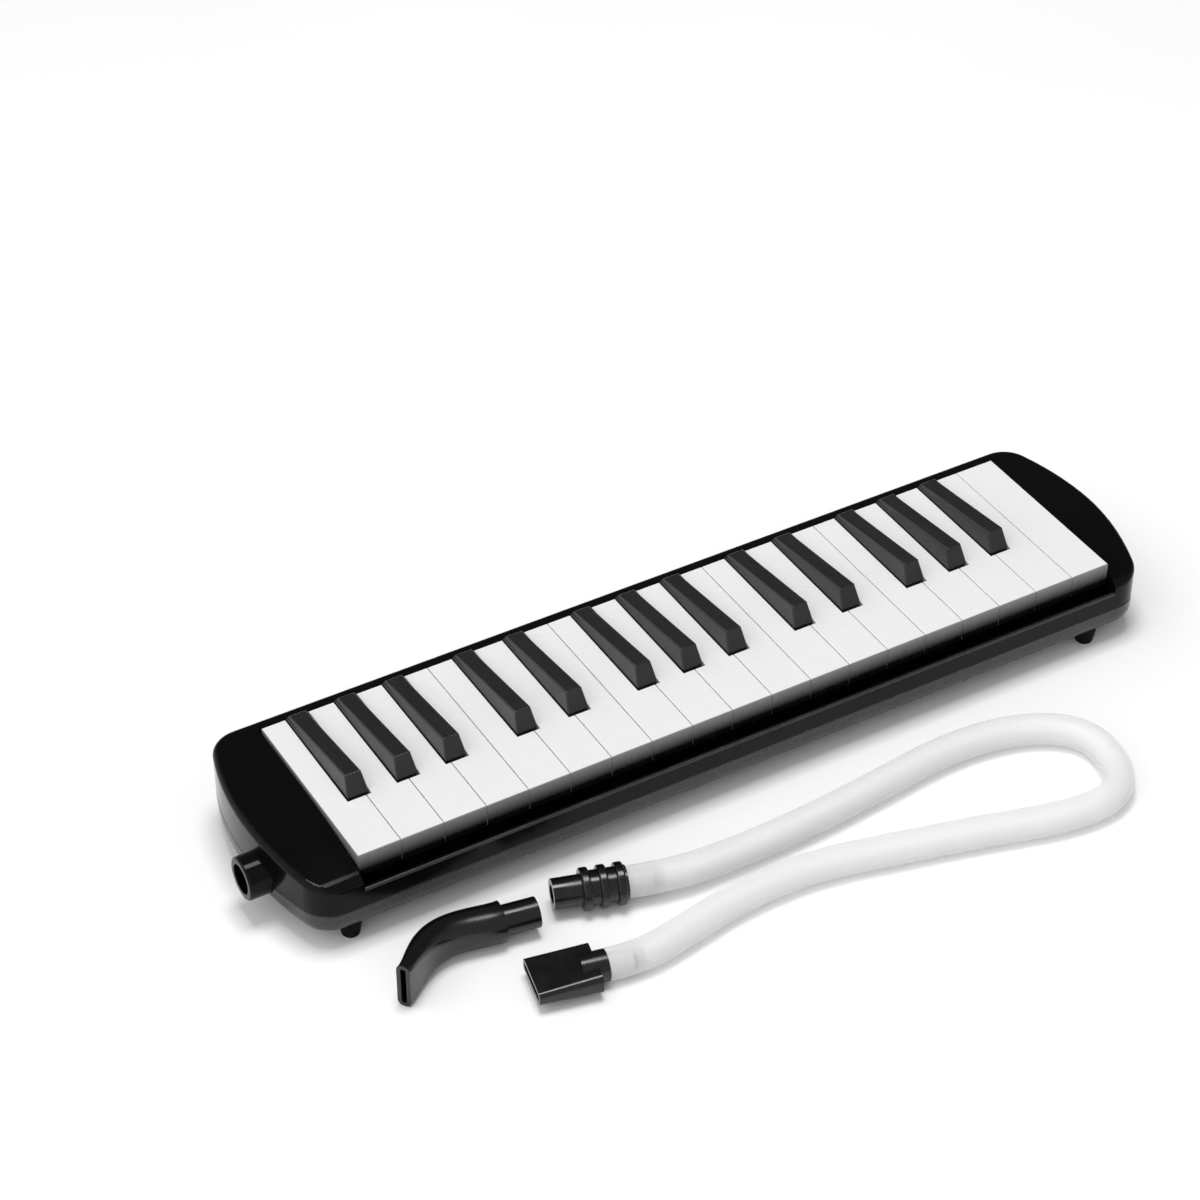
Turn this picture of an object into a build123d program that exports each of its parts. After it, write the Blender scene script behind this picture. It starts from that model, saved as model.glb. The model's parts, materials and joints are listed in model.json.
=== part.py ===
"""A 32-key melodica with its blowing hose and its short mouthpiece.

The instrument is a two-part glossy case on four feet.  A wind chest in the lower case holds 32 reeds,
one for each key.  Each key rocks on one long rod: its front goes down and a felt pad behind the rod
lifts off the key's valve hole.  Air comes in by the socket in the left end, which takes the short
mouthpiece or the hose's connector.  Condensed water leaves by a sprung button in the right end.

Frame: +X to the high notes, +Y away from the player, +Z up.  Z = 0 is the table.  The origin is under
the middle of the box that holds the instrument and its short mouthpiece.
"""

import math
import os

from build123d import *

os.makedirs("parts", exist_ok=True)

# Keyboard
KEY_PITCH = 19.5
WHITE_NOTES = "f3 g3 a3 b3 c4 d4 e4 f4 g4 a4 b4 c5 d5 e5 f5 g5 a5 b5 c6".split()
BLACK_OFFSET = {"f": -3.0, "g": 0.0, "a": 3.0, "c": -2.5, "d": 2.5}
KEYBOARD = KEY_PITCH * len(WHITE_NOTES)
KEY_LENGTH = 88.5
WHITE_GAP = 0.36
WHITE_TOP = 40.0
PLATE = 2.2
SKIRT = 6.0
SKIRT_WALL = 1.4
LIP = 11.0
LIP_WALL = 2.0
BLACK_FRONT = 32.0
BLACK_WIDTH = 9.8
BLACK_TOP_WIDTH = 7.3
BLACK_TOP = 49.0
BLACK_TOP_REAR = 42.0
BLACK_SLOPE = 3.7
BLACK_SIDE_GAP = 0.5
BLACK_FRONT_GAP = 1.3

# Case
CASE_DEPTH = 102.0
CASE_TO_LEFT = 30.0
CASE_TO_RIGHT = 24.0
CASE_LENGTH = KEYBOARD + CASE_TO_LEFT + CASE_TO_RIGHT
END_RADIUS = 130.0
CORNER_RADIUS = 14.0
WALL = 2.2
FOOT_HEIGHT = 6.5
SPLIT = 18.0
CAP_TOP = 38.5
CAP_FRONT = 33.5
CAP_NOSE = 29.0
LEDGE = 27.0
BOTTOM_ROUND = 7.0
TOP_ROUND = 2.5
SEAM = 0.4

# The rocking of the keys
PIVOT_BACK = 58.0
PIVOT_Z = 28.0
ROD_RADIUS = 1.5
ROD_FIT = 0.05
BOSS_WIDTH = 4.6
PAD_WIDTH = 8.0
PAD_LENGTH = 11.0
PAD_BACK = 72.0
PAD_THICK = 2.0
GLUE = 0.05

# Wind chest
CHEST_TOP = 22.0
CHEST_BOTTOM = 8.8
CHEST_WALL = 4.0
CHEST_ROOF = 2.0
CHEST_FRONT = 12.5
CHEST_BACK = 83.5
CHEST_LEFT = -8.0
CHEST_RIGHT = 378.5
COVER_TOP = 11.7
GASKET = 0.8
PLATE_TOP = 14.5
REED_PLATE = 1.2
REED = 0.35
CELL_WIDTH = 8.0
CELL_FRONT = 22.0
CELL_BACK = 76.5

# Blowing end
NOZZLE_BACK = 31.0
NOZZLE_Z = 20.0
NOZZLE_RADIUS = 9.5
NOZZLE_REACH = 38.0
SOCKET_BORE = 6.6
SOCKET_DEPTH = 14.0
SPIGOT = 6.5

# Hose
HOSE_RADIUS = 6.8

# The whole box is as wide as nozzle end to case end, and as deep as case back to mouthpiece tip.
MOUTHPIECE_REACH = 49.36
CASE_FRONT_OUT = 6.0
KEYS_LEFT = (NOZZLE_REACH - KEYBOARD - CASE_TO_RIGHT) / 2
KEYS_FRONT = (MOUTHPIECE_REACH + CASE_FRONT_OUT - CASE_DEPTH) / 2


def kx(distance):
    """X of a place that lies this far right of the keyboard's left edge."""
    return KEYS_LEFT + distance


def ky(distance):
    """Y of a place that lies this far behind the fronts of the white keys."""
    return KEYS_FRONT + distance


CASE_LEFT = kx(-CASE_TO_LEFT)
CASE_RIGHT = kx(KEYBOARD + CASE_TO_RIGHT)
CASE_FRONT = ky(-CASE_FRONT_OUT)
CASE_BACK = CASE_FRONT + CASE_DEPTH
CASE_MIDDLE_Y = (CASE_FRONT + CASE_BACK) / 2
PIVOT_Y = ky(PIVOT_BACK)


def block(x, y, z, mode=Mode.ADD):
    """A box between two places on each axis."""
    with Locations(((x[0] + x[1]) / 2, (y[0] + y[1]) / 2, (z[0] + z[1]) / 2)):
        Box(x[1] - x[0], y[1] - y[0], z[1] - z[0], mode=mode)


def blocks(centres, width, y, z, mode=Mode.ADD):
    """A row of equal boxes, one at each of these places along the keyboard."""
    with Locations([(kx(centre), (y[0] + y[1]) / 2, (z[0] + z[1]) / 2) for centre in centres]):
        Box(width, y[1] - y[0], z[1] - z[0], mode=mode)


def posts(places, z, radius, mode=Mode.ADD):
    """Equal upright round bars, at places measured from the keyboard's front left corner."""
    with Locations([(kx(x), ky(y), (z[0] + z[1]) / 2) for x, y in places]):
        Cylinder(radius, z[1] - z[0], mode=mode)


def rod_along_x(x, y, z, radius, mode=Mode.ADD):
    """A round bar along X between two places."""
    with Locations(Location(((x[0] + x[1]) / 2, y, z), (0, 90, 0))):
        Cylinder(radius, x[1] - x[0], mode=mode)


def save(part, name):
    """Label a finished piece and write it."""
    part.label = name
    export_step(part, f"parts/{name}.step")


def black_centre(white):
    """Middle of the black key that follows this white key, or None where there is none."""
    note = WHITE_NOTES[white][0] if 0 <= white < len(WHITE_NOTES) - 1 else ""
    if note not in BLACK_OFFSET:
        return None
    return KEY_PITCH * (white + 1) + BLACK_OFFSET[note]


def white_tail(white):
    """Left and right sides of a white key's narrow rear part, measured like kx."""
    clear = BLACK_WIDTH / 2 + BLACK_SIDE_GAP
    before = black_centre(white - 1)
    after = black_centre(white)
    left = KEY_PITCH * white + WHITE_GAP / 2 if before is None else before + clear
    right = KEY_PITCH * (white + 1) - WHITE_GAP / 2 if after is None else after - clear
    return left, right


WHITE_KEYS = [(f"white_key_{note}", number) for number, note in enumerate(WHITE_NOTES)]
BLACK_KEYS = []
for number, note in enumerate(WHITE_NOTES):
    if black_centre(number) is not None:
        BLACK_KEYS.append((f"black_key_{note[0]}s{note[1]}", number))
WHITE_CENTRES = [sum(white_tail(number)) / 2 for name, number in WHITE_KEYS]
BLACK_CENTRES = [black_centre(number) for name, number in BLACK_KEYS]
CELL_CENTRES = sorted(WHITE_CENTRES + BLACK_CENTRES)


def case_outline(z, inset=0.0):
    """Plan of the case: straight front and back, bulging ends, rounded corners, inset by a wall."""
    left = CASE_LEFT + inset
    right = CASE_RIGHT - inset
    front = CASE_FRONT + inset
    back = CASE_BACK - inset
    bulge = END_RADIUS - math.sqrt(END_RADIUS**2 - ((back - front) / 2) ** 2)
    with BuildSketch(Plane.XY.offset(z)) as plan:
        with BuildLine():
            Line((left + bulge, front), (right - bulge, front))
            ThreePointArc((right - bulge, front), (right, CASE_MIDDLE_Y), (right - bulge, back))
            Line((right - bulge, back), (left + bulge, back))
            ThreePointArc((left + bulge, back), (left, CASE_MIDDLE_Y), (left + bulge, front))
        make_face()
        fillet(plan.vertices(), CORNER_RADIUS - inset)
    return plan.sketch


def crown(drop=0.0):
    """Side view of the upper case: flat at the back, rolling down towards the player."""
    top = CAP_TOP - drop
    with BuildSketch(Plane.YZ.offset(CASE_LEFT - 10)) as side:
        with BuildLine():
            Line((CASE_BACK + 1, SPLIT - 1), (CASE_BACK + 1, top))
            Line((CASE_BACK + 1, top), (ky(50), top))
            roll = TangentArc((ky(50), top), (ky(-1), CAP_FRONT - drop), tangent=(-1, 0))
            nose = TangentArc(roll @ 1, (CASE_FRONT - 0.5, CAP_NOSE - drop), tangent=roll % 1)
            Line(nose @ 1, (CASE_FRONT - 0.5, SPLIT - 1))
            Line((CASE_FRONT - 0.5, SPLIT - 1), (CASE_BACK + 1, SPLIT - 1))
        make_face()
    return side.sketch


# ---------------------------------------------------------------- case
CAP_SCREWS = [(-17, 12), (382.4, 13), (-17, 76), (383.2, 70)]
FRONT_SCREWS = [(120, 1.2), (250, 1.2)]
CASE_SCREWS = CAP_SCREWS + FRONT_SCREWS
SCREW_RADIUS = 1.45
SCREW_HEAD = 2.8
BOSS_RADIUS = 3.4
BAY = (kx(-0.8), kx(KEYBOARD + 0.8))
BAY_BACK = ky(KEY_LENGTH + 1.2)
RAIL = (ky(4.5), ky(9.5))
FELT_TOP = 29.0
BUTTON_Z = 17.0
BUTTON_Y = CASE_MIDDLE_Y
BUTTON_HOLE = 3.1

with BuildPart() as case_cavity:
    add(case_outline(SPLIT - 1, WALL))
    extrude(amount=CAP_TOP)
    add(crown(WALL))
    extrude(amount=CASE_LENGTH + 20, dir=(1, 0, 0), mode=Mode.INTERSECT)
    # The bay's side walls stay: they carry the ends of the key rod.
    for inner, outer in ((BAY[0], BAY[0] - 2), (BAY[1], BAY[1] + 2)):
        block(sorted((inner, outer)), (CASE_FRONT, CASE_BACK), (CHEST_TOP + 0.6, 60), Mode.SUBTRACT)

with BuildPart() as upper_case:
    add(case_outline(SPLIT))
    extrude(amount=CAP_TOP)
    add(crown())
    extrude(amount=CASE_LENGTH + 20, dir=(1, 0, 0), mode=Mode.INTERSECT)
    top_edges = upper_case.edges().filter_by(lambda e: e.center().Z > LEDGE)
    rim = top_edges.filter_by(lambda e: min(v.Z for v in e.vertices()) > LEDGE)
    walls = [f for f in upper_case.faces() if f.normal_at().Z < 0.05 and f.bounding_box().min.Z < SPLIT + 0.1]
    wall_edges = [e for f in walls for e in f.edges()]
    rim = rim.filter_by(lambda e: any(e.is_same(w) for w in wall_edges))
    fillet(rim, TOP_ROUND)
    chamfer(upper_case.faces().sort_by(Axis.Z)[0].edges(), SEAM)
    add(case_cavity.part, mode=Mode.SUBTRACT)
    # Keyboard bay: the front wall drops to a ledge below the key fronts.
    block(BAY, (CASE_FRONT - 1, BAY_BACK), (LEDGE, 60), Mode.SUBTRACT)
    block(BAY, (ky(-1.8), BAY_BACK), (SPLIT - 1, LEDGE + 1), Mode.SUBTRACT)
    # Rail under the keys, which carries the felt that they come down on.
    block((BAY[0] - 1, BAY[1] + 1), RAIL, (24, 27))
    block((BAY[0] - 1, BAY[1] + 1), (RAIL[0], RAIL[0] + 2), (SPLIT, 27))
    # Screw bosses.
    posts(CAP_SCREWS[:2], (SPLIT, CAP_FRONT + 1.0), BOSS_RADIUS)
    posts(CAP_SCREWS[2:], (SPLIT, CAP_TOP - WALL + 0.5), BOSS_RADIUS)
    posts(FRONT_SCREWS, (SPLIT, SPLIT + 5), BOSS_RADIUS)
    blocks([x for x, y in FRONT_SCREWS], 4, (CASE_FRONT + 1, ky(1)), (SPLIT, SPLIT + 5))
    posts(CAP_SCREWS, (SPLIT - 1, SPLIT + 8), SCREW_RADIUS + 0.05, Mode.SUBTRACT)
    posts(FRONT_SCREWS, (SPLIT - 1, SPLIT + 4), SCREW_RADIUS + 0.05, Mode.SUBTRACT)
    rod_along_x((BAY[0] - 3, BAY[1] + 3), PIVOT_Y, PIVOT_Z, ROD_RADIUS + 0.02, Mode.SUBTRACT)
    rod_along_x((CASE_LEFT - 5, kx(-20)), ky(NOZZLE_BACK), NOZZLE_Z, NOZZLE_RADIUS + 0.1, Mode.SUBTRACT)
    rod_along_x((kx(384), CASE_RIGHT + 5), BUTTON_Y, BUTTON_Z, BUTTON_HOLE, Mode.SUBTRACT)
save(upper_case.part, "upper_case")

with BuildPart() as case_pit:
    add(case_outline(FOOT_HEIGHT + WALL, WALL))
    extrude(amount=SPLIT - FOOT_HEIGHT)
    fillet(case_pit.faces().sort_by(Axis.Z)[0].edges(), BOTTOM_ROUND - WALL)

FEET = [(-5, 0.5), (362, 0.5), (-5, 84.5), (362, 84.5)]
FOOT_SPIGOT = 2.0
FOOT_TOP = 4.8
FOOT_RISE = 2.4
with BuildPart() as case_bottom:
    add(case_outline(FOOT_HEIGHT))
    extrude(amount=SPLIT - FOOT_HEIGHT)
    fillet(case_bottom.faces().sort_by(Axis.Z)[0].edges(), BOTTOM_ROUND)

with BuildPart() as lower_case:
    add(case_bottom.part)
    chamfer(lower_case.faces().sort_by(Axis.Z)[-1].edges(), SEAM)
    add(case_pit.part, mode=Mode.SUBTRACT)
    posts(CASE_SCREWS, (FOOT_HEIGHT + 0.6, SPLIT), BOSS_RADIUS)
    posts(CASE_SCREWS, (FOOT_HEIGHT - 1, SPLIT + 1), SCREW_RADIUS + 0.1, Mode.SUBTRACT)
    posts(CASE_SCREWS, (FOOT_HEIGHT - 1, FOOT_HEIGHT + 3), SCREW_HEAD + 0.2, Mode.SUBTRACT)
    posts(FEET, (FOOT_HEIGHT - 1, FOOT_HEIGHT + WALL + 1), FOOT_SPIGOT + 0.05, Mode.SUBTRACT)
    rod_along_x((CASE_LEFT - 5, kx(-20)), ky(NOZZLE_BACK), NOZZLE_Z, NOZZLE_RADIUS + 0.1, Mode.SUBTRACT)
    rod_along_x((kx(384), CASE_RIGHT + 5), BUTTON_Y, BUTTON_Z, BUTTON_HOLE, Mode.SUBTRACT)
save(lower_case.part, "lower_case")

# The feet follow the case's rounded bottom edge, at the very front and back of it.
with BuildPart() as rubber_feet:
    with Locations([(kx(x), ky(y), FOOT_HEIGHT / 2) for x, y in FEET]):
        Cone(3.8, FOOT_TOP, FOOT_HEIGHT)
    fillet(rubber_feet.edges().group_by(Axis.Z)[0], 0.8)
    posts(FEET, (FOOT_HEIGHT - 0.5, FOOT_HEIGHT + FOOT_RISE), FOOT_TOP)
    add(case_bottom.part, mode=Mode.SUBTRACT)
    posts(FEET, (FOOT_HEIGHT - 0.5, FOOT_HEIGHT + WALL), FOOT_SPIGOT)
save(rubber_feet.part, "rubber_feet")

with BuildPart() as case_screws:
    posts(CASE_SCREWS, (FOOT_HEIGHT + 1, FOOT_HEIGHT + 3), SCREW_HEAD)
    posts(CAP_SCREWS, (FOOT_HEIGHT + 2, SPLIT + 7), SCREW_RADIUS)
    posts(FRONT_SCREWS, (FOOT_HEIGHT + 2, SPLIT + 3.5), SCREW_RADIUS)
    with Locations([(kx(x), ky(y), FOOT_HEIGHT + 1) for x, y in CASE_SCREWS]):
        Box(4, 0.8, 2, mode=Mode.SUBTRACT)
        Box(0.8, 4, 2, mode=Mode.SUBTRACT)
save(case_screws.part, "case_screws")

# ---------------------------------------------------------------- wind chest
RECESS = ((kx(CHEST_LEFT + CHEST_WALL), kx(CHEST_RIGHT - CHEST_WALL)), (ky(16.5), ky(79.5)))
CHEST_X = (kx(CHEST_LEFT), kx(CHEST_RIGHT))
CHEST_Y = (ky(CHEST_FRONT), ky(CHEST_BACK))
BLOCK_BOTTOM = COVER_TOP + GASKET
ROD_POSTS = [4, 10, 16, 22, 27]
PLATE_SPLIT = (CELL_CENTRES[15] + CELL_CENTRES[16]) / 2
PLATE_LEFT = -0.6
PLATE_RIGHT = 368.5
CHEST_SCREWS = [(x, y) for x in (-6, 90, 185, 280, 376.5) for y in (14.5, 81.5)]
PLATE_SCREW_CELLS = [0, 5, 10, 14, 17, 21, 26, 30]
PLATE_SCREW_X = [(CELL_CENTRES[i] + CELL_CENTRES[i + 1]) / 2 for i in PLATE_SCREW_CELLS]
PLATE_SCREWS = [(x, y) for x in PLATE_SCREW_X for y in (19.0, 77.9)]
ROD_POST_X = [(CELL_CENTRES[i] + CELL_CENTRES[i + 1]) / 2 for i in ROD_POSTS]
INLET = ((24.5, 37.5), (PLATE_TOP, PLATE_TOP + 4.5))

with BuildPart() as wind_chest:
    block(CHEST_X, CHEST_Y, (BLOCK_BOTTOM, CHEST_TOP))
    block(*RECESS, (BLOCK_BOTTOM - 1, PLATE_TOP), Mode.SUBTRACT)
    cell_y = (ky(CELL_FRONT), ky(CELL_BACK))
    blocks(CELL_CENTRES, CELL_WIDTH, cell_y, (PLATE_TOP - 1, CHEST_TOP - CHEST_ROOF), Mode.SUBTRACT)
    valve_y = (ky(PAD_BACK - 3.5), ky(PAD_BACK + 3.5))
    blocks(CELL_CENTRES, 5, valve_y, (CHEST_TOP - 3, CHEST_TOP + 1), Mode.SUBTRACT)
    # Wells at both ends join the chamber under the reed plates to the inlet and to the drain.
    block((RECESS[0][0], kx(-1)), RECESS[1], (PLATE_TOP - 1, CHEST_TOP - CHEST_ROOF), Mode.SUBTRACT)
    block((kx(369), RECESS[0][1]), RECESS[1], (PLATE_TOP - 1, CHEST_TOP - CHEST_ROOF), Mode.SUBTRACT)
    inlet_y = (ky(INLET[0][0]), ky(INLET[0][1]))
    block((CHEST_X[0] - 1, CHEST_X[0] + CHEST_WALL + 1), inlet_y, INLET[1], Mode.SUBTRACT)
    rod_along_x((CHEST_X[1] - 6, CHEST_X[1] + 1), BUTTON_Y, BUTTON_Z, 2.2, Mode.SUBTRACT)
    # Posts between the keys, which carry the rod along its length.
    blocks(ROD_POST_X, 2.4, (PIVOT_Y - 4, PIVOT_Y + 4), (CHEST_TOP - 0.5, PIVOT_Z + 3))
    rod_along_x((CHEST_X[0], CHEST_X[1]), PIVOT_Y, PIVOT_Z, ROD_RADIUS + 0.02, Mode.SUBTRACT)
    posts(CHEST_SCREWS, (BLOCK_BOTTOM - 1, BLOCK_BOTTOM + 6), 0.95, Mode.SUBTRACT)
    posts(PLATE_SCREWS, (PLATE_TOP - 1, PLATE_TOP + 4), 0.8, Mode.SUBTRACT)
save(wind_chest.part, "wind_chest")

with BuildPart() as chest_gasket:
    block(CHEST_X, CHEST_Y, (COVER_TOP, BLOCK_BOTTOM))
    block(*RECESS, (COVER_TOP - 1, BLOCK_BOTTOM + 1), Mode.SUBTRACT)
    posts(CHEST_SCREWS, (COVER_TOP - 1, BLOCK_BOTTOM + 1), 1.0, Mode.SUBTRACT)
save(chest_gasket.part, "chest_gasket")

with BuildPart() as chest_cover:
    block(CHEST_X, CHEST_Y, (CHEST_BOTTOM, COVER_TOP))
    block(*RECESS, (CHEST_BOTTOM + 1.2, COVER_TOP + 1), Mode.SUBTRACT)
    posts(CHEST_SCREWS, (CHEST_BOTTOM - 1, COVER_TOP + 1), 1.0, Mode.SUBTRACT)
    posts(CHEST_SCREWS, (CHEST_BOTTOM - 1, CHEST_BOTTOM + 1.2), 1.8, Mode.SUBTRACT)
save(chest_cover.part, "chest_cover")

with BuildPart() as chest_screws:
    posts(CHEST_SCREWS, (CHEST_BOTTOM + 0.1, CHEST_BOTTOM + 1.2), 1.7)
    posts(CHEST_SCREWS, (CHEST_BOTTOM + 1, BLOCK_BOTTOM + 5.5), 0.9)
save(chest_screws.part, "chest_screws")


def reed_length(number):
    """Length of a reed's free tongue, from the lowest note down to the highest."""
    return 31.0 - 0.52 * number


REED_ROOT = 24.5
RIVET = 0.6


def reed_plate(first, last, left, right):
    """One brass plate with a slot and a rivet hole for each of its reeds."""
    with BuildPart() as plate:
        block((kx(left), kx(right)), (ky(16.7), ky(79.3)), (PLATE_TOP - REED_PLATE, PLATE_TOP))
        for number in range(first, last):
            x = kx(CELL_CENTRES[number])
            slot = (ky(REED_ROOT + 3), ky(REED_ROOT + 3 + reed_length(number)))
            block((x - 1.6, x + 1.6), slot, (PLATE_TOP - 2, PLATE_TOP + 1), Mode.SUBTRACT)
        rivets = [(centre, REED_ROOT) for centre in CELL_CENTRES[first:last]]
        screws = [(x, y) for x, y in PLATE_SCREWS if left < x < right]
        posts(rivets, (PLATE_TOP - 2, PLATE_TOP + 1), RIVET + 0.02, Mode.SUBTRACT)
        posts(screws, (PLATE_TOP - 2, PLATE_TOP + 1), 0.85, Mode.SUBTRACT)
    return plate.part


save(reed_plate(0, 16, PLATE_LEFT, PLATE_SPLIT - 0.3), "reed_plate_low")
save(reed_plate(16, 32, PLATE_SPLIT + 0.3, PLATE_RIGHT), "reed_plate_high")

REED_TOP = PLATE_TOP - REED_PLATE
RIVETS = [(centre, REED_ROOT) for centre in CELL_CENTRES]
with BuildPart() as reeds:
    with BuildSketch(Plane.XY.offset(REED_TOP - REED)):
        for number, centre in enumerate(CELL_CENTRES):
            length = reed_length(number) + 0.8
            with Locations((kx(centre), ky(REED_ROOT + 0.25))):
                Rectangle(3.8, 4.5)
            with Locations((kx(centre), ky(REED_ROOT + 2 + length / 2))):
                Rectangle(2.7, length)
        with Locations([(kx(x), ky(y)) for x, y in RIVETS]):
            Circle(RIVET + 0.02, mode=Mode.SUBTRACT)
    extrude(amount=REED)
save(reeds.part, "reeds")

with BuildPart() as reed_rivets:
    posts(RIVETS, (REED_TOP - REED - 0.5, REED_TOP - REED), 1.2)
    posts(RIVETS, (REED_TOP - REED - 0.2, PLATE_TOP), RIVET)
save(reed_rivets.part, "reed_rivets")

with BuildPart() as reed_plate_screws:
    posts(PLATE_SCREWS, (REED_TOP - 0.8, REED_TOP), 1.4)
    posts(PLATE_SCREWS, (REED_TOP - 0.5, PLATE_TOP + 3.5), 0.75)
save(reed_plate_screws.part, "reed_plate_screws")

# ---------------------------------------------------------------- keys
with BuildPart() as key_pivot_rod:
    rod_along_x((BAY[0] - 2.6, BAY[1] + 2.6), PIVOT_Y, PIVOT_Z, ROD_RADIUS)
save(key_pivot_rod.part, "key_pivot_rod")

with BuildPart() as front_felt:
    block((BAY[0] + 0.5, BAY[1] - 0.5), (RAIL[0] + 0.2, RAIL[1] - 0.2), (27, FELT_TOP))
save(front_felt.part, "front_felt")


def rocker(centre, ceiling):
    """Under a key: the bearing on the rod, the arm behind it, its pallet and the felt pad."""
    x = kx(centre)
    half = BOSS_WIDTH / 2
    pallet = (ky(PAD_BACK - PAD_LENGTH / 2), ky(PAD_BACK + PAD_LENGTH / 2))
    sides = (x - PAD_WIDTH / 2, x + PAD_WIDTH / 2)
    seat = CHEST_TOP + PAD_THICK
    block((x - half, x + half), (PIVOT_Y - 4, PIVOT_Y + 4), (seat, ceiling))
    block((x - 1.5, x + 1.5), (PIVOT_Y, pallet[1]), (seat, seat + 4))
    block(sides, pallet, (seat, seat + 1.2))
    rod_along_x((x - 6, x + 6), PIVOT_Y, PIVOT_Z, ROD_RADIUS + ROD_FIT, Mode.SUBTRACT)
    block(sides, pallet, (CHEST_TOP, seat - GLUE))


def white_key(number):
    """A white key: a thin moulded plate with skirts, a deep front lip and its rocker."""
    front = (kx(KEY_PITCH * number + WHITE_GAP / 2), kx(KEY_PITCH * (number + 1) - WHITE_GAP / 2))
    tail = tuple(kx(side) for side in white_tail(number))
    notch = ky(BLACK_FRONT - BLACK_FRONT_GAP)
    skirt_bottom = WHITE_TOP - SKIRT
    ceiling = WHITE_TOP - PLATE
    inner = (front[0] + SKIRT_WALL, front[1] - SKIRT_WALL)
    tail_inner = (tail[0] + SKIRT_WALL, tail[1] - SKIRT_WALL)
    with BuildPart() as key:
        block(front, (ky(0), notch), (skirt_bottom, WHITE_TOP))
        block(tail, (notch - 1, ky(KEY_LENGTH)), (skirt_bottom, WHITE_TOP))
        fillet(key.faces().sort_by(Axis.Z)[-1].edges(), 0.35)
        block(inner, (ky(LIP_WALL), notch - SKIRT_WALL), (skirt_bottom - 1, ceiling), Mode.SUBTRACT)
        block(tail_inner, (notch - 5, ky(KEY_LENGTH - SKIRT_WALL)), (skirt_bottom - 1, ceiling), Mode.SUBTRACT)
        block(front, (ky(0), ky(LIP_WALL)), (WHITE_TOP - LIP, skirt_bottom + 1))
        rocker(WHITE_CENTRES[number], ceiling + 0.5)
    return key.part


BLACK_CEILING = 39.5


def black_key(centre):
    """A black key: a tapered, bevelled block that is lower at the back, hollow below."""
    x = kx(centre)
    base = 35.0
    level = WHITE_TOP + 0.2
    length = KEY_LENGTH - BLACK_FRONT
    top_length = length - BLACK_SLOPE - 0.4
    tilt = math.degrees(math.atan2(BLACK_TOP - BLACK_TOP_REAR, top_length))
    middle = (BLACK_TOP + BLACK_TOP_REAR) / 2
    top_middle_y = ky(BLACK_FRONT + BLACK_SLOPE) + top_length / 2
    top_plane = Plane(Location((x, top_middle_y, middle), (-tilt, 0, 0)))
    with BuildPart() as key:
        with BuildSketch(Plane.XY.offset(level)):
            with Locations((x, ky(BLACK_FRONT) + length / 2)):
                Rectangle(BLACK_WIDTH, length)
        with BuildSketch(top_plane):
            Rectangle(BLACK_TOP_WIDTH, top_length)
        loft()
        fillet(key.edges().filter_by(lambda e: abs(e.tangent_at(0.5).Z) > 0.8), 0.7)
        fillet(key.faces().sort_by(Axis.Z)[-1].edges(), 0.8)
        sides = (x - BLACK_WIDTH / 2 + 0.3, x + BLACK_WIDTH / 2 - 0.3)
        block(sides, (ky(BLACK_FRONT) + 0.8, ky(KEY_LENGTH) - 0.3), (base, level + 1))
        inner = (sides[0] + SKIRT_WALL, sides[1] - SKIRT_WALL)
        depth = (ky(BLACK_FRONT) + 3.5, ky(KEY_LENGTH) - 0.3 - SKIRT_WALL)
        block(inner, depth, (base - 1, BLACK_CEILING), Mode.SUBTRACT)
        rocker(centre, BLACK_CEILING + 0.5)
    return key.part


for name, number in WHITE_KEYS:
    save(white_key(number), name)
for name, number in BLACK_KEYS:
    save(black_key(black_centre(number)), name)

# A bent steel leaf stands under each key, in front of the rod, and pushes its front up.
LEAF_FRONT = 38.0
LEAF_LENGTH = 8.0
LEAF_WIDTH = 4.0
LEAF = 0.4


def leaf_spring(centre, ceiling):
    """A Z-shaped leaf from the chest's roof up to a key's underside."""
    low = CHEST_TOP + 0.02
    high = ceiling - 0.02
    front = ky(LEAF_FRONT)
    back = ky(LEAF_FRONT + LEAF_LENGTH)
    bend = 1.5
    with BuildSketch(Plane.YZ.offset(kx(centre) - LEAF_WIDTH / 2)) as side:
        with BuildLine():
            Polyline(
                (back, low),
                (front, low),
                (back - bend, high - LEAF),
                (front, high - LEAF),
                (front, high),
                (back - bend + 2 * LEAF, high),
                (front + 2 * LEAF, low + LEAF),
                (back, low + LEAF),
                close=True,
            )
        make_face()
    return extrude(side.sketch.faces()[0], amount=LEAF_WIDTH, dir=(1, 0, 0), mode=Mode.PRIVATE)


LEAVES = [leaf_spring(centre, WHITE_TOP - PLATE) for centre in WHITE_CENTRES]
LEAVES += [leaf_spring(centre, BLACK_CEILING) for centre in BLACK_CENTRES]
with BuildPart() as key_springs:
    add(LEAVES)
save(key_springs.part, "key_springs")

# ---------------------------------------------------------------- blowing end
DUCT_Y = (ky(INLET[0][0] - 1.5), ky(INLET[0][1] + 1.5))
DUCT_Z = (INLET[1][0] - 1.5, INLET[1][1] + 1.5)
NOZZLE_END = kx(-NOZZLE_REACH)
FLANGE = kx(-25)

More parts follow.
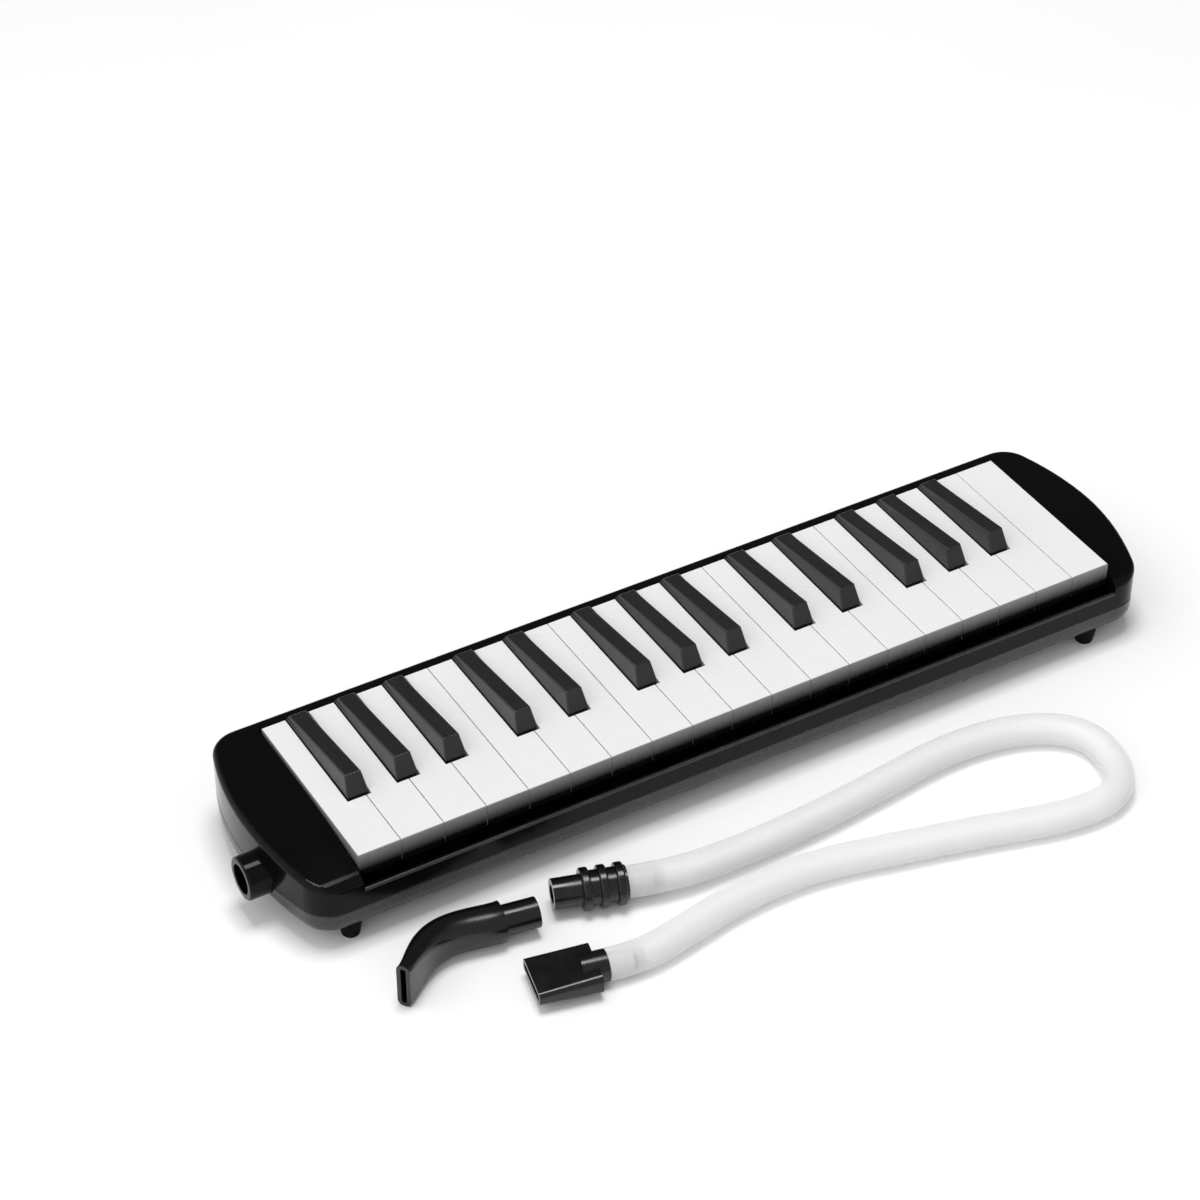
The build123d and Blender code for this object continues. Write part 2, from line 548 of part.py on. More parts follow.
with BuildPart() as blow_socket:
    rod_along_x((NOZZLE_END, kx(-20)), ky(NOZZLE_BACK), NOZZLE_Z, NOZZLE_RADIUS)
    fillet(blow_socket.edges().group_by(Axis.X)[0], 1.0)
    rod_along_x((FLANGE, FLANGE + 2), ky(NOZZLE_BACK), NOZZLE_Z, NOZZLE_RADIUS + 1)
    block((kx(-21), CHEST_X[0] - 1), DUCT_Y, DUCT_Z)
    rod_along_x((NOZZLE_END - 1, NOZZLE_END + SOCKET_DEPTH), ky(NOZZLE_BACK), NOZZLE_Z, SOCKET_BORE, Mode.SUBTRACT)
    block((NOZZLE_END + SOCKET_DEPTH - 1, CHEST_X[0]), inlet_y, INLET[1], Mode.SUBTRACT)
save(blow_socket.part, "blow_socket")

with BuildPart() as socket_seal:
    block((CHEST_X[0] - 1, CHEST_X[0]), DUCT_Y, DUCT_Z)
    block((CHEST_X[0] - 2, CHEST_X[0] + 1), inlet_y, INLET[1], Mode.SUBTRACT)
save(socket_seal.part, "socket_seal")

# ---------------------------------------------------------------- drain
BUTTON_FACE = CASE_RIGHT - 0.2
BUTTON_BACK = BUTTON_FACE - 5
WELL_WALL = RECESS[0][1]
STEM = 1.25
with BuildPart() as drain_button:
    rod_along_x((BUTTON_BACK, BUTTON_FACE), BUTTON_Y, BUTTON_Z, BUTTON_HOLE - 0.1)
    fillet(drain_button.edges().group_by(Axis.X)[-1], 0.6)
    rod_along_x((WELL_WALL - 3, BUTTON_BACK + 1), BUTTON_Y, BUTTON_Z, STEM)
save(drain_button.part, "drain_button")

with BuildPart() as drain_seal:
    rod_along_x((WELL_WALL - 1.5, WELL_WALL), BUTTON_Y, BUTTON_Z, 3.0)
    rod_along_x((WELL_WALL - 2, WELL_WALL + 1), BUTTON_Y, BUTTON_Z, STEM + 0.02, Mode.SUBTRACT)
save(drain_seal.part, "drain_seal")

COIL_WIRE = 0.25
COIL_RADIUS = 2.4
COIL_LENGTH = BUTTON_BACK - CHEST_X[1] - 2 * COIL_WIRE - 0.1
COIL_START = (CHEST_X[1] + COIL_WIRE + 0.05, BUTTON_Y, BUTTON_Z)
with BuildPart() as drain_spring:
    with BuildLine() as coil:
        Helix(COIL_LENGTH / 4, COIL_LENGTH, COIL_RADIUS, center=COIL_START, direction=(1, 0, 0))
    with BuildSketch(Plane(coil.line @ 0, z_dir=coil.line % 0)):
        Circle(COIL_WIRE)
    sweep(is_frenet=True)
save(drain_spring.part, "drain_spring")

# ---------------------------------------------------------------- hose
# Route of the hose's centreline on the table, from its connector to its flat mouthpiece.
HOSE_ROUTE = [
    (-77.3, -62.0, 9.0),
    (-58.3, -67.9, 9.0),
    (-28.3, -68.1, 6.9),
    (9.7, -67.0, 6.9),
    (47.7, -63.0, 6.9),
    (85.7, -58.5, 6.9),
    (119.7, -63.5, 6.9),
    (141.7, -79.5, 6.9),
    (140.7, -105.5, 6.9),
    (127.7, -119.5, 6.9),
    (102.7, -119.0, 6.9),
    (67.7, -108.5, 6.9),
    (29.7, -98.8, 6.9),
    (-6.3, -90.0, 6.9),
    (-42.3, -90.5, 6.9),
    (-70.3, -96.0, 6.9),
    (-92.3, -99.7, 6.9),
    (-106.8, -96.5, 6.9),
]


def corner_radii(route):
    """The largest arc at each corner: 0.45 of its shorter run over the tangent of half its turn."""
    radii = []
    for before, corner, after in zip(route, route[1:], route[2:]):
        run_in = Vector(*corner) - Vector(*before)
        run_out = Vector(*after) - Vector(*corner)
        turn = math.radians(run_in.get_angle(run_out))
        radii.append(0.45 * min(run_in.length, run_out.length) / math.tan(turn / 2))
    return radii


HOSE_RADII = corner_radii(HOSE_ROUTE)
with BuildPart() as hose:
    with BuildLine() as hose_path:
        FilletPolyline(*HOSE_ROUTE, radius=HOSE_RADII)
    with BuildSketch(Plane(hose_path.line @ 0, z_dir=hose_path.line % 0)):
        Circle(HOSE_RADIUS)
    sweep()
save(hose.part, "hose")
hose_length = sum(edge.length for edge in hose_path.edges())
expected = math.pi * HOSE_RADIUS**2 * hose_length
print("hose length", round(hose_length, 1))
print("hose bend radii", [round(radius, 1) for radius in HOSE_RADII])
print("hose volume over section times length", round(hose.part.volume / expected, 4))

# The connector: a plain spigot that fits the socket, then three grip ribs next to the hose.
CONNECTOR_LENGTH = 31.0
CONNECTOR_BARREL = 12.0
RIB_RADIUS = 9.0
connector_plane = Plane(hose_path.line @ 0, z_dir=(hose_path.line % 0) * -1)
with BuildPart(connector_plane) as hose_connector:
    from_hose = (Align.CENTER, Align.CENTER, Align.MIN)
    Cylinder(7.4, CONNECTOR_LENGTH - CONNECTOR_BARREL, align=from_hose)
    for place in (1.0, 8.2, 15.4):
        with Locations((0, 0, place)):
            Cylinder(RIB_RADIUS, 3.6, align=from_hose)
    fillet(hose_connector.edges().filter_by(GeomType.CIRCLE).filter_by(lambda e: e.radius > 8), 0.8)
    with Locations((0, 0, CONNECTOR_LENGTH - CONNECTOR_BARREL - 1)):
        Cylinder(SPIGOT, CONNECTOR_BARREL + 1, align=from_hose)
    Cylinder(4.0, CONNECTOR_LENGTH + 1, align=from_hose, mode=Mode.SUBTRACT)
save(hose_connector.part, "hose_connector")

# The flat mouthpiece: a round collar set into the end of a broad flat bill.
COLLAR = 11.0
BILL_START = 4.5
BILL_END = 31.0
BILL_WIDTH = 23.0
BILL_ROOT_THICK = 9.0
BILL_TIP_THICK = 6.0
BILL_WALL = 1.6
bill_plane = Plane(hose_path.line @ 1, x_dir=(0, 0, 1), z_dir=hose_path.line % 1)


def flat_bill(start, inset):
    """The bill's solid from its root to its tip, drawn inset by a wall."""
    with BuildPart() as bill:
        for place, thick in ((start, BILL_ROOT_THICK), (BILL_END, BILL_TIP_THICK)):
            with BuildSketch(bill_plane.offset(place)):
                RectangleRounded(thick - 2 * inset, BILL_WIDTH - 2 * inset, 0.35 * (thick - 2 * inset))
        loft()
    return bill.part


with BuildPart() as hose_mouthpiece:
    add(flat_bill(BILL_START, 0))
    with Locations(bill_plane.location):
        Cylinder(HOSE_RADIUS - 0.1, COLLAR, align=from_hose)
    add(flat_bill(BILL_START + 5, BILL_WALL), mode=Mode.SUBTRACT)
    with Locations(bill_plane.offset(-1).location):
        Cylinder(2.6, COLLAR + 2, align=from_hose, mode=Mode.SUBTRACT)
save(hose_mouthpiece.part, "hose_mouthpiece")

# ---------------------------------------------------------------- short mouthpiece
# It lies on its side: the spigot is level and the bill stands on edge, bent towards the player.
MOUTH_SECTIONS = [
    # x, y, z, heading, width, height
    (46.6, -32.4, 8.6, 170.5, 16.6, 16.6),
    (33.0, -30.2, 8.9, 171.5, 15.6, 17.0),
    (20.0, -30.0, 9.4, 187.0, 13.4, 18.0),
    (7.5, -36.2, 10.2, 208.0, 9.6, 19.8),
    (-5.2, -46.9, 11.0, 215.0, 6.0, 22.0),
]
MOUTH_WALL = 1.8
SPIGOT_LENGTH = 15.0


def mouth_plane(section):
    """Plane across the mouthpiece at a section, with its local Y upright."""
    x, y, z, heading, width, height = section
    along = (math.cos(math.radians(heading)), math.sin(math.radians(heading)), 0)
    across = (along[1], -along[0], 0)
    return Plane((kx(x), ky(y), z), x_dir=across, z_dir=along)


def mouth_body(inset):
    """The mouthpiece's body from collar to tip, drawn inset by a wall."""
    with BuildPart() as body:
        for section in MOUTH_SECTIONS:
            width = section[4] - 2 * inset
            height = section[5] - 2 * inset
            with BuildSketch(mouth_plane(section)):
                RectangleRounded(width, height, 0.46 * min(width, height))
        loft()
    return body.part


spigot_plane = mouth_plane(MOUTH_SECTIONS[0])
to_spigot = (Align.CENTER, Align.CENTER, Align.MAX)
with BuildPart() as mouthpiece:
    add(mouth_body(0))
    add(mouth_body(MOUTH_WALL), mode=Mode.SUBTRACT)
    with Locations(spigot_plane.offset(1).location):
        Cylinder(SPIGOT, SPIGOT_LENGTH + 1, align=to_spigot)
    with Locations(spigot_plane.offset(2).location):
        Cylinder(4.3, SPIGOT_LENGTH + 3, align=to_spigot, mode=Mode.SUBTRACT)
save(mouthpiece.part, "mouthpiece")
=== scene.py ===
"""Looks of a 32-key melodica with its blowing hose and short mouthpiece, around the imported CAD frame."""

import json
import math

import bpy
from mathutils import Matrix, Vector


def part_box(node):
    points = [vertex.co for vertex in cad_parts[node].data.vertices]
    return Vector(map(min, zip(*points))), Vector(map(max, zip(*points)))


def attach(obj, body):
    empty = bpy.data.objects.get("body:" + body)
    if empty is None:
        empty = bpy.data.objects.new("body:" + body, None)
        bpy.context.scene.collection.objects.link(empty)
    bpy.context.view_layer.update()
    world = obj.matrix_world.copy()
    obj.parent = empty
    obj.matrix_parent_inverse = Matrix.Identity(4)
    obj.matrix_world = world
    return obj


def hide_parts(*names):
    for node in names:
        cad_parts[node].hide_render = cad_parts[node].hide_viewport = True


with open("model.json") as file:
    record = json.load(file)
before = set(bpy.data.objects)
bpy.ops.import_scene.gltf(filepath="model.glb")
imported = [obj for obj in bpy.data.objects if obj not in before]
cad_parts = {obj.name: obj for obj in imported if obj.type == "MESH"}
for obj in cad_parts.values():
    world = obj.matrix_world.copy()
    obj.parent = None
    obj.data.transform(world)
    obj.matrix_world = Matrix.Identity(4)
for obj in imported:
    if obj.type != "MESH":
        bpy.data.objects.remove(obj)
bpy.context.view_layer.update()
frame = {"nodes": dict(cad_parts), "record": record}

# ---------------------------------------------------------------- places, in metres
MM = 0.001
FIRST_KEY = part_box("white_key_f3")
KEYS_LEFT = FIRST_KEY[0][0]
KEYS_FRONT = FIRST_KEY[0][1]
WHITE_TOP = FIRST_KEY[1][2]
# Height where the painted shade on the white key fronts is darkest.
LIP_SHADE_BOTTOM = WHITE_TOP - 8.5 * MM


# ---------------------------------------------------------------- camera
CAMERA_PLACE = (KEYS_LEFT - 0.3897, KEYS_FRONT - 0.8599, 0.9345)
CAMERA_AZIMUTH = math.radians(-30.21)
CAMERA_ELEVATION = math.radians(39.11)
CAMERA_LENS = 97.83


def make_camera():
    """The camera looks down on the keyboard from the player's left."""
    data = bpy.data.cameras.new("camera")
    data.sensor_width = 36
    data.lens = CAMERA_LENS
    data.clip_end = 100
    camera = bpy.data.objects.new("camera", data)
    bpy.context.scene.collection.objects.link(camera)
    camera.location = CAMERA_PLACE
    camera.rotation_euler = (math.pi / 2 - CAMERA_ELEVATION, 0, CAMERA_AZIMUTH)
    bpy.context.scene.camera = camera


make_camera()


# ---------------------------------------------------------------- mesh helpers
def new_object(name, vertices, faces, smooth=True):
    """A mesh object from plain lists, with smooth shading unless told otherwise."""
    mesh = bpy.data.meshes.new(name)
    mesh.from_pydata([tuple(v) for v in vertices], [], faces)
    mesh.update()
    if smooth:
        mesh.shade_smooth()
    else:
        mesh.shade_flat()
    piece = bpy.data.objects.new(name, mesh)
    bpy.context.scene.collection.objects.link(piece)
    return piece


def tube_frames(points):
    """Unit vectors across each point of a line, side and up, turning as little as possible."""
    frames = []
    for i, point in enumerate(points):
        before = points[max(i - 1, 0)]
        after = points[min(i + 1, len(points) - 1)]
        along = (after - before).normalized()
        side = along.cross(Vector((0, 0, 1))).normalized()
        frames.append((side, side.cross(along)))
    return frames


def ring(point, side, up, radius, count):
    """Points of a circle round a point."""
    turns = [2 * math.pi * k / count for k in range(count)]
    return [point + radius * (math.cos(t) * side + math.sin(t) * up) for t in turns]


def bridge(faces, first, second, count):
    """Quads between two rings of vertices."""
    for k in range(count):
        step = (k + 1) % count
        faces.append((first + k, first + step, second + step, second + k))


def lathe(name, origin, along, profile, count=64):
    """A turned piece: a closed profile of (distance along, radius) pairs, spun round its axis."""
    along = along.normalized()
    side = along.cross(Vector((0, 0, 1))).normalized()
    up = side.cross(along)
    vertices = []
    faces = []
    for distance, radius in profile:
        vertices += ring(origin + along * distance, side, up, radius, count)
    for i in range(len(profile)):
        bridge(faces, i * count, (i + 1) % len(profile) * count, count)
    piece = new_object(name, vertices, faces)
    sharpen(piece)
    return piece


def sharpen(piece, angle=35):
    """Smooth shading with crisp edges where faces meet at more than this angle."""
    piece.data.set_sharp_from_angle(angle=math.radians(angle))


# ---------------------------------------------------------------- hose
# The centreline's route, point for point that of the CAD hose.
HOSE_ROUTE = [
    (-0.0773, -0.0620, 0.0090),
    (-0.0583, -0.0679, 0.0090),
    (-0.0283, -0.0681, 0.0069),
    (0.0097, -0.0670, 0.0069),
    (0.0477, -0.0630, 0.0069),
    (0.0857, -0.0585, 0.0069),
    (0.1197, -0.0635, 0.0069),
    (0.1417, -0.0795, 0.0069),
    (0.1407, -0.1055, 0.0069),
    (0.1277, -0.1195, 0.0069),
    (0.1027, -0.1190, 0.0069),
    (0.0677, -0.1085, 0.0069),
    (0.0297, -0.0988, 0.0069),
    (-0.0063, -0.0900, 0.0069),
    (-0.0423, -0.0905, 0.0069),
    (-0.0703, -0.0960, 0.0069),
    (-0.0923, -0.0997, 0.0069),
    (-0.1068, -0.0965, 0.0069),
]
HOSE_RADIUS = 0.0068
HOSE_BORE_RADIUS = 0.0050
HOSE_SIDES = 40


def hose_line():
    """The hose's smooth centreline, read from a NURBS curve with the route as its control points."""
    curve = bpy.data.curves.new("hose_line", "CURVE")
    curve.dimensions = "3D"
    spline = curve.splines.new("NURBS")
    spline.points.add(len(HOSE_ROUTE) - 1)
    for point, place in zip(spline.points, HOSE_ROUTE):
        point.co = (*place, 1)
    spline.order_u = 3
    spline.use_endpoint_u = True
    spline.resolution_u = 12
    holder = bpy.data.objects.new("hose_line", curve)
    bpy.context.scene.collection.objects.link(holder)
    mesh = bpy.data.meshes.new_from_object(holder)
    points = [v.co.copy() for v in mesh.vertices]
    bpy.data.objects.remove(holder)
    bpy.data.curves.remove(curve)
    bpy.data.meshes.remove(mesh)
    return points


def make_hose(points):
    """A hollow soft tube along the centreline, open at both ends."""
    count = HOSE_SIDES
    frames = tube_frames(points)
    vertices = []
    faces = []
    for radius in (HOSE_RADIUS, HOSE_BORE_RADIUS):
        for point, (side, up) in zip(points, frames):
            vertices += ring(point, side, up, radius, count)
    layers = len(points)
    for i in range(layers - 1):
        bridge(faces, (i + 1) * count, i * count, count)
        bridge(faces, (layers + i) * count, (layers + i + 1) * count, count)
    bridge(faces, 0, layers * count, count)
    bridge(faces, (2 * layers - 1) * count, (layers - 1) * count, count)
    hose = new_object("hose_tube", vertices, faces)
    sharpen(hose)
    return hose


hose_points = hose_line()
hose = make_hose(hose_points)
hose_start = (hose_points[0] - hose_points[1]).normalized()
hose_end = (hose_points[-1] - hose_points[-2]).normalized()


def barb(name, origin, into_hose):
    """A barbed nipple, pushed into the hose's end."""
    tips = [2.5 * MM, 7.0 * MM, 11.5 * MM]
    profile = [(0.0, 2.6 * MM), (0.0, 4.6 * MM)]
    for tip in tips:
        profile += [(tip - 1.6 * MM, 4.4 * MM), (tip, 4.9 * MM), (tip + 0.4 * MM, 4.2 * MM)]
    profile += [(15.0 * MM, 3.9 * MM), (15.5 * MM, 3.4 * MM), (15.5 * MM, 2.6 * MM)]
    return lathe(name, origin, into_hose, profile)


BEAD_RADIUS = 0.8 * MM
BEAD_CORE = BEAD_RADIUS / 3
BEAD_OVERHANG = 0.5 * MM
BEAD_SETBACK = 0.45 * MM
BEAD_HEIGHT = 26.7 * MM


def ledge_bead():
    """The rolled edge along the front of the ledge below the key fronts."""
    left = KEYS_LEFT - BEAD_OVERHANG
    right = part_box("white_key_c6")[1][0] + BEAD_OVERHANG
    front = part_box("upper_case")[0][1]
    origin = Vector((left, front + BEAD_SETBACK, BEAD_HEIGHT))
    length = right - left
    profile = [(0, BEAD_CORE), (0, BEAD_RADIUS), (length, BEAD_RADIUS), (length, BEAD_CORE)]
    return lathe("ledge_bead", origin, Vector((1, 0, 0)), profile, 24)


bead = ledge_bead()
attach(bead, "case")

connector_barb = barb("connector_barb", hose_points[0], -hose_start)
bill_barb = barb("bill_barb", hose_points[-1], -hose_end)
for piece in (hose, connector_barb, bill_barb):
    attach(piece, "hose")
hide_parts("hose")


# ---------------------------------------------------------------- materials
class Shader:
    """A Principled material whose parts are added one call at a time."""

    def __init__(self, name, colour, roughness, metallic=0.0):
        self.material = bpy.data.materials.new(name)
        self.material.use_nodes = True
        self.tree = self.material.node_tree
        self.bsdf = self.tree.nodes["Principled BSDF"]
        self.bsdf.inputs["Base Color"].default_value = (*colour, 1)
        self.bsdf.inputs["Roughness"].default_value = roughness
        self.bsdf.inputs["Metallic"].default_value = metallic
        self.colour = colour
        self.height = None
        self.place = self.tree.nodes.new("ShaderNodeTexCoord").outputs["Object"]

    def link(self, source, target):
        self.tree.links.new(source, target)

    def stretched(self, scale):
        """Object coordinates, scaled by different amounts along each axis."""
        mapping = self.tree.nodes.new("ShaderNodeMapping")
        mapping.inputs["Scale"].default_value = scale
        self.link(self.place, mapping.inputs["Vector"])
        return mapping.outputs["Vector"]

    def noise(self, scale, detail=3.0, stretch=(1, 1, 1), roughness=0.5):
        node = self.tree.nodes.new("ShaderNodeTexNoise")
        node.inputs["Scale"].default_value = scale
        node.inputs["Detail"].default_value = detail
        node.inputs["Roughness"].default_value = roughness
        self.link(self.stretched(stretch), node.inputs["Vector"])
        return node.outputs["Fac"]

    def ramp(self, source, low, high, start=0.35, end=0.65):
        """A number that goes from low to high as the source goes from start to end."""
        node = self.tree.nodes.new("ShaderNodeMapRange")
        for name, value in (("From Min", start), ("From Max", end), ("To Min", low), ("To Max", high)):
            node.inputs[name].default_value = value
        self.link(source, node.inputs["Value"])
        return node.outputs["Result"]

    def combine(self, operation, first, second):
        node = self.tree.nodes.new("ShaderNodeMath")
        node.operation = operation
        self.link(first, node.inputs[0])
        self.link(second, node.inputs[1])
        return node.outputs["Value"]

    def product(self, first, second):
        return self.combine("MULTIPLY", first, second)

    def larger(self, first, second):
        return self.combine("MAXIMUM", first, second)

    def tint(self, factor, colour):
        """Mix another colour over what the base colour is now."""
        mix = self.tree.nodes.new("ShaderNodeMix")
        mix.data_type = "RGBA"
        base = self.bsdf.inputs["Base Color"]
        if base.is_linked:
            self.link(base.links[0].from_socket, mix.inputs["A"])
        else:
            mix.inputs["A"].default_value = base.default_value
        mix.inputs["B"].default_value = (*colour, 1)
        self.link(factor, mix.inputs["Factor"])
        self.link(mix.outputs["Result"], base)
        return self

    def rough(self, source):
        self.link(source, self.bsdf.inputs["Roughness"])
        return self

    def bump(self, source, depth, strength=1.0):
        """Add relief, depth in metres; several calls add up."""
        node = self.tree.nodes.new("ShaderNodeBump")
        node.inputs["Distance"].default_value = depth
        node.inputs["Strength"].default_value = strength
        self.link(source, node.inputs["Height"])
        if self.height:
            self.link(self.height, node.inputs["Normal"])
        self.height = node.outputs["Normal"]
        self.link(self.height, self.bsdf.inputs["Normal"])
        return self

    def set(self, **values):
        """Constants on the shader's own sockets."""
        for name, value in values.items():
            self.bsdf.inputs[name.replace("_", " ")].default_value = value
        return self


def gloss_case():
    """Polished black ABS: faint flow marks, smudges in the gloss, a little dust."""
    shader = Shader("gloss_case", (0.0028, 0.0028, 0.003), 0.1)
    shader.rough(shader.ramp(shader.noise(38, 5), 0.07, 0.17))
    shader.tint(shader.ramp(shader.noise(2600, 2), 0, 0.25, 0.7, 0.8), (0.03, 0.03, 0.032))
    shader.bump(shader.noise(420, 2), 0.00004, 0.12)
    shader.bump(shader.noise(60, 1, (0.3, 1, 1)), 0.0003, 0.05)
    return shader.set(IOR=1.33, Specular_IOR_Level=0.25).material


def lower_shell():
    """The lower shell: the same plastic with a duller, slightly grained skin."""
    shader = Shader("lower_shell", (0.018, 0.018, 0.0184), 0.24)
    shader.rough(shader.ramp(shader.noise(60, 4), 0.18, 0.3))
    shader.tint(shader.ramp(shader.noise(900, 3), 0, 0.5, 0.45, 0.75), (0.04, 0.04, 0.041))
    shader.bump(shader.noise(1800, 3), 0.00008, 0.2)
    return shader.set(IOR=1.48).material


def white_plastic():
    """White key plastic: a soft sheen, faint clouding, and painted shade on the key fronts and the first
    key's left side, darker towards the bottom.
    """
    shader = Shader("white_plastic", (0.8, 0.8, 0.795), 0.25)
    shader.tint(shader.ramp(shader.noise(30, 4), 0, 0.3, 0.3, 0.8), (0.77, 0.77, 0.76))
    shader.rough(shader.ramp(shader.noise(90, 4), 0.2, 0.34))
    shader.bump(shader.noise(700, 2), 0.00003, 0.12)
    # Painted shade: the white keys' front faces and the first key's left side are tinted near black,
    # darkest at the bottom of the lip, and lose most of their sheen.
    split = shader.tree.nodes.new("ShaderNodeSeparateXYZ")
    shader.link(shader.place, split.inputs["Vector"])
    depth = shader.ramp(split.outputs["Z"], 1.0, 0.66, LIP_SHADE_BOTTOM, WHITE_TOP)
    front = shader.ramp(split.outputs["Y"], 1.0, 0.0, KEYS_FRONT + 0.2 * MM, KEYS_FRONT + 0.5 * MM)
    side = shader.ramp(split.outputs["X"], 1.0, 0.0, KEYS_LEFT + 0.1 * MM, KEYS_LEFT + 0.3 * MM)
    lip_shade_mask = shader.larger(front, side)
    shader.tint(shader.product(depth, lip_shade_mask), (0.004, 0.004, 0.0042))
    shader.link(shader.ramp(lip_shade_mask, 0.5, 0.08, 0, 1), shader.bsdf.inputs["Specular IOR Level"])
    return shader.set(IOR=1.48).material


def black_key_plastic():
    """Charcoal satin plastic with a fine moulded grain and paler streaks along the key."""
    shader = Shader("black_key_plastic", (0.012, 0.012, 0.0125), 0.25)
    shader.tint(shader.ramp(shader.noise(70, 5, (2, 0.4, 1)), 0, 0.6, 0.4, 0.75), (0.02, 0.02, 0.0205))
    shader.rough(shader.ramp(shader.noise(160, 4), 0.2, 0.3))
    shader.bump(shader.noise(2400, 3), 0.0001, 0.25)
    return shader.material


def mouth_plastic():
    """Black plastic of the mouthpieces: less polished than the case, with mould lines of flow."""
    shader = Shader("mouth_plastic", (0.002, 0.002, 0.0021), 0.28)
    shader.rough(shader.ramp(shader.noise(110, 5), 0.18, 0.28))
    shader.tint(shader.ramp(shader.noise(350, 3), 0, 0.4, 0.5, 0.8), (0.008, 0.008, 0.0082))
    shader.bump(shader.noise(1300, 3), 0.00003, 0.12)
    return shader.set(IOR=1.52).material


def foot_rubber():
    """Matt rubber with a powdery, slightly pitted skin."""
    shader = Shader("foot_rubber", (0.002, 0.002, 0.002), 0.75)
    shader.tint(shader.ramp(shader.noise(500, 5), 0, 0.7, 0.4, 0.7), (0.005, 0.005, 0.0048))
    shader.rough(shader.ramp(shader.noise(900, 3), 0.62, 0.88))
    shader.bump(shader.noise(1600, 5), 0.00015, 0.5)
    return shader.set(Specular_IOR_Level=0.12).material


def foam():
    """Foam rubber of the gaskets: open cells."""
    shader = Shader("foam", (0.05, 0.05, 0.052), 0.9)
    cells = shader.tree.nodes.new("ShaderNodeTexVoronoi")
    cells.inputs["Scale"].default_value = 1500
    shader.link(shader.place, cells.inputs["Vector"])
    shader.bump(cells.outputs["Distance"], 0.0003, 0.6)
    shader.tint(shader.ramp(cells.outputs["Distance"], 0, 0.8, 0.2, 0.6), (0.09, 0.09, 0.09))
    return shader.material


def chest_plastic():
    """Grey moulded plastic of the wind chest, with a coarse spark-eroded grain."""
    shader = Shader("chest_plastic", (0.42, 0.43, 0.43), 0.5)
    shader.tint(shader.ramp(shader.noise(45, 4), 0, 0.5), (0.36, 0.37, 0.37))
    shader.rough(shader.ramp(shader.noise(250, 4), 0.42, 0.6))
    shader.bump(shader.noise(1500, 4), 0.00012, 0.35)
    return shader.material


def rolled_metal(name, colour, roughness, stretch):
    """Metal with the fine lines of rolling or drawing along one axis."""
    shader = Shader(name, colour, roughness, 1.0)
    lines = shader.noise(900, 4, stretch)
    shader.rough(shader.ramp(lines, roughness - 0.06, roughness + 0.1))
    shader.bump(lines, 0.00005, 0.25)
    darker = tuple(0.8 * value for value in colour)
    shader.tint(shader.ramp(shader.noise(120, 4), 0, 0.5), darker)
    return shader.material


def wool_felt():
    """Pressed felt: matted fibres and a soft sheen."""
    shader = Shader("wool_felt", (0.03, 0.03, 0.032), 0.95)
    fibres = shader.noise(1400, 8, (1, 1, 3), 0.7)
    shader.tint(shader.ramp(fibres, 0, 0.8, 0.35, 0.7), (0.055, 0.055, 0.058))
    shader.bump(fibres, 0.0005, 0.8)
    return shader.set(Sheen_Weight=0.4, Sheen_Roughness=0.5).material


def milky_tube():
    """Soft milky PVC, thin enough to show a shade of the barbs inside its ends."""
    shader = Shader("milky_tube", (0.97, 0.97, 0.97), 0.34)
    shader.rough(shader.ramp(shader.noise(80, 4), 0.28, 0.42))
    shader.tint(shader.ramp(shader.noise(35, 3), 0, 0.4), (0.95, 0.95, 0.95))
    shader.bump(shader.noise(300, 3), 0.00003, 0.1)
    shader.set(Subsurface_Radius=(1, 1, 1))
    shader.set(Alpha=0.5, IOR=1.3, Subsurface_Weight=0.15, Subsurface_Scale=0.004)
    return shader.material


MATERIALS = {
    "gloss_case": gloss_case(),
    "white_key": white_plastic(),
    "black_key": black_key_plastic(),
    "satin_black": mouth_plastic(),
    "mouth_black": mouth_plastic(),
    "foot_rubber": foot_rubber(),
    "gasket": foam(),
    "chest_plastic": chest_plastic(),
    "reed_brass": rolled_metal("reed_brass", (0.72, 0.5, 0.2), 0.28, (0.05, 1, 1)),
    "reed_steel": rolled_metal("reed_steel", (0.55, 0.55, 0.56), 0.25, (1, 0.05, 1)),
    "steel_screw": rolled_metal("steel_screw", (0.5, 0.5, 0.52), 0.34, (1, 1, 0.2)),
    "rod_steel": rolled_metal("rod_steel", (0.65, 0.65, 0.67), 0.2, (0.05, 1, 1)),
    "felt": wool_felt(),
    "clear_hose": milky_tube(),
}
LOWER_SHELL = lower_shell()


def paint(piece, material):
    """Give a piece one material."""
    piece.data.materials.clear()
    piece.data.materials.append(material)


slot_of = {entry["node"]: entry["material_slot"] for entry in frame["record"]["subparts"]}
for name, node in frame["nodes"].items():
    paint(node, MATERIALS[slot_of[name]])
paint(frame["nodes"]["lower_case"], LOWER_SHELL)
paint(hose, MATERIALS["clear_hose"])
paint(bead, LOWER_SHELL)
paint(connector_barb, MATERIALS["mouth_black"])
paint(bill_barb, MATERIALS["mouth_black"])


